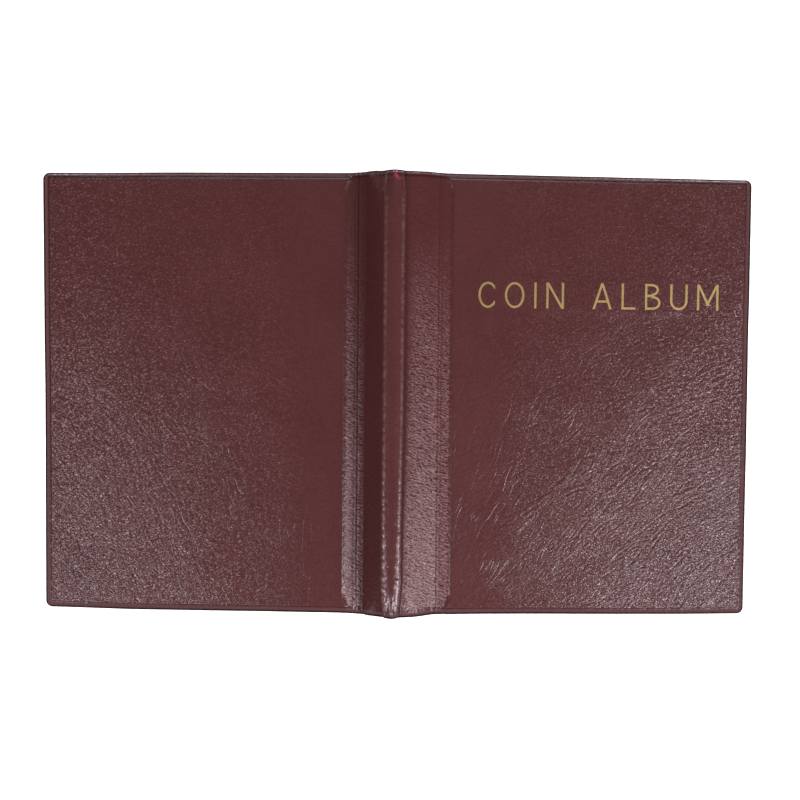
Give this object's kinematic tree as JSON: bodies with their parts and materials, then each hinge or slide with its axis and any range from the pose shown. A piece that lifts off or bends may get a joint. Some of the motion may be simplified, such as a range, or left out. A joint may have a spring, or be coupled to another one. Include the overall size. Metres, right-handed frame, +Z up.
{
  "type": "coin album",
  "caption": "Leatherette coin album lying open face down, with stiffened covers, a folding tented spine and hinged clear pocket leaves bound inside it.",
  "frame": {"origin": "centre of the album's footprint, on the surface it lies on", "axes": "+X towards the front cover's fore edge, +Y towards the head of the album, +Z up; the album lies open, face down"},
  "size_m": [0.23, 0.142, 0.019],
  "materials": {
    "cover_skin": "fine-grained burgundy PVC leatherette, satin",
    "lining": "smooth burgundy PVC sheet",
    "board": "grey board, matt",
    "binding": "translucent PVC, welded",
    "leaf_backing": "frosted clear PVC sheet",
    "pocket_film": "clear PVC film",
    "title_foil": "stamped gold foil"
  },
  "bodies": {
    "spine": {"spine_ridge_skin": "cover_skin", "spine_ridge_lining": "lining", "spine_binding_strip": "binding", "leaf_01_tab": "binding", "leaf_02_tab": "binding", "leaf_03_tab": "binding", "leaf_04_tab": "binding", "leaf_05_tab": "binding", "leaf_06_tab": "binding", "leaf_07_tab": "binding", "leaf_08_tab": "binding", "leaf_09_tab": "binding", "leaf_10_tab": "binding"},
    "back_flank": {"back_spine_skin": "cover_skin", "back_spine_lining": "lining"},
    "back_cover": {"back_cover_skin": "cover_skin", "back_cover_board": "board", "back_cover_lining": "lining"},
    "front_flank": {"front_spine_skin": "cover_skin", "front_spine_lining": "lining"},
    "front_cover": {"front_cover_skin": "cover_skin", "front_cover_board": "board", "front_cover_lining": "lining", "front_title_foil": "title_foil"},
    "leaf_01": {"leaf_01_backing": "leaf_backing", "leaf_01_pockets": "pocket_film"},
    "leaf_02": {"leaf_02_backing": "leaf_backing", "leaf_02_pockets": "pocket_film"},
    "leaf_03": {"leaf_03_backing": "leaf_backing", "leaf_03_pockets": "pocket_film"},
    "leaf_04": {"leaf_04_backing": "leaf_backing", "leaf_04_pockets": "pocket_film"},
    "leaf_05": {"leaf_05_backing": "leaf_backing", "leaf_05_pockets": "pocket_film"},
    "leaf_06": {"leaf_06_backing": "leaf_backing", "leaf_06_pockets": "pocket_film"},
    "leaf_07": {"leaf_07_backing": "leaf_backing", "leaf_07_pockets": "pocket_film"},
    "leaf_08": {"leaf_08_backing": "leaf_backing", "leaf_08_pockets": "pocket_film"},
    "leaf_09": {"leaf_09_backing": "leaf_backing", "leaf_09_pockets": "pocket_film"},
    "leaf_10": {"leaf_10_backing": "leaf_backing", "leaf_10_pockets": "pocket_film"}
  },
  "joints": [
    {"name": "back_cover_hinge", "type": "hinge", "parent": "back_flank", "child": "back_cover", "pos_m": [-0.01319, 0, 0.00751], "axis": [0, -1, 0], "range_deg": [0, 67.67]},
    {"name": "back_spine_fold", "type": "hinge", "parent": "spine", "child": "back_flank", "pos_m": [-0.00469, 0, 0.01761], "axis": [0, -1, 0], "range_deg": [0, 20.17]},
    {"name": "front_cover_hinge", "type": "hinge", "parent": "front_flank", "child": "front_cover", "pos_m": [0.01352, 0, 0.01063], "axis": [0, 1, 0], "range_deg": [-30, 46.51]},
    {"name": "front_spine_fold", "type": "hinge", "parent": "spine", "child": "front_flank", "pos_m": [0.00231, 0, 0.01761], "axis": [0, 1, 0], "range_deg": [-24.62, 38.17]},
    {"name": "leaf_01_turn", "type": "hinge", "parent": "spine", "child": "leaf_01", "pos_m": [0.00133, 0, 0.00019], "axis": [0, -1, 0], "range_deg": [0, 90]},
    {"name": "leaf_02_turn", "type": "hinge", "parent": "spine", "child": "leaf_02", "pos_m": [0.00077, 0, 0.00049], "axis": [0, -1, 0], "range_deg": [0, 90]},
    {"name": "leaf_03_turn", "type": "hinge", "parent": "spine", "child": "leaf_03", "pos_m": [0.00021, 0, 0.00079], "axis": [0, -1, 0], "range_deg": [0, 90]},
    {"name": "leaf_04_turn", "type": "hinge", "parent": "spine", "child": "leaf_04", "pos_m": [-0.00035, 0, 0.00109], "axis": [0, -1, 0], "range_deg": [0, 90]},
    {"name": "leaf_05_turn", "type": "hinge", "parent": "spine", "child": "leaf_05", "pos_m": [-0.00091, 0, 0.00139], "axis": [0, -1, 0], "range_deg": [0, 90]},
    {"name": "leaf_06_turn", "type": "hinge", "parent": "spine", "child": "leaf_06", "pos_m": [-0.00147, 0, 0.00169], "axis": [0, -1, 0], "range_deg": [0, 90]},
    {"name": "leaf_07_turn", "type": "hinge", "parent": "spine", "child": "leaf_07", "pos_m": [-0.00203, 0, 0.00199], "axis": [0, -1, 0], "range_deg": [0, 90]},
    {"name": "leaf_08_turn", "type": "hinge", "parent": "spine", "child": "leaf_08", "pos_m": [-0.00259, 0, 0.00229], "axis": [0, -1, 0], "range_deg": [0, 90]},
    {"name": "leaf_09_turn", "type": "hinge", "parent": "spine", "child": "leaf_09", "pos_m": [-0.00315, 0, 0.00259], "axis": [0, -1, 0], "range_deg": [0, 90]},
    {"name": "leaf_10_turn", "type": "hinge", "parent": "spine", "child": "leaf_10", "pos_m": [-0.00371, 0, 0.00289], "axis": [0, -1, 0], "range_deg": [0, 90]}
  ],
  "couplings": [
    {"joint": "back_spine_fold", "follows": "back_cover_hinge", "ratio": 0.29805},
    {"joint": "front_spine_fold", "follows": "front_cover_hinge", "ratio": 0.82058},
    {"joint": "leaf_01_turn", "follows": "back_cover_hinge", "ratio": 1.3301},
    {"joint": "leaf_02_turn", "follows": "back_cover_hinge", "ratio": 1.3301},
    {"joint": "leaf_03_turn", "follows": "back_cover_hinge", "ratio": 1.3301},
    {"joint": "leaf_04_turn", "follows": "back_cover_hinge", "ratio": 1.3301},
    {"joint": "leaf_05_turn", "follows": "back_cover_hinge", "ratio": 1.3301},
    {"joint": "leaf_06_turn", "follows": "back_cover_hinge", "ratio": 1.3301},
    {"joint": "leaf_07_turn", "follows": "back_cover_hinge", "ratio": 1.3301},
    {"joint": "leaf_08_turn", "follows": "back_cover_hinge", "ratio": 1.3301},
    {"joint": "leaf_09_turn", "follows": "back_cover_hinge", "ratio": 1.3301},
    {"joint": "leaf_10_turn", "follows": "back_cover_hinge", "ratio": 1.3301}
  ]
}
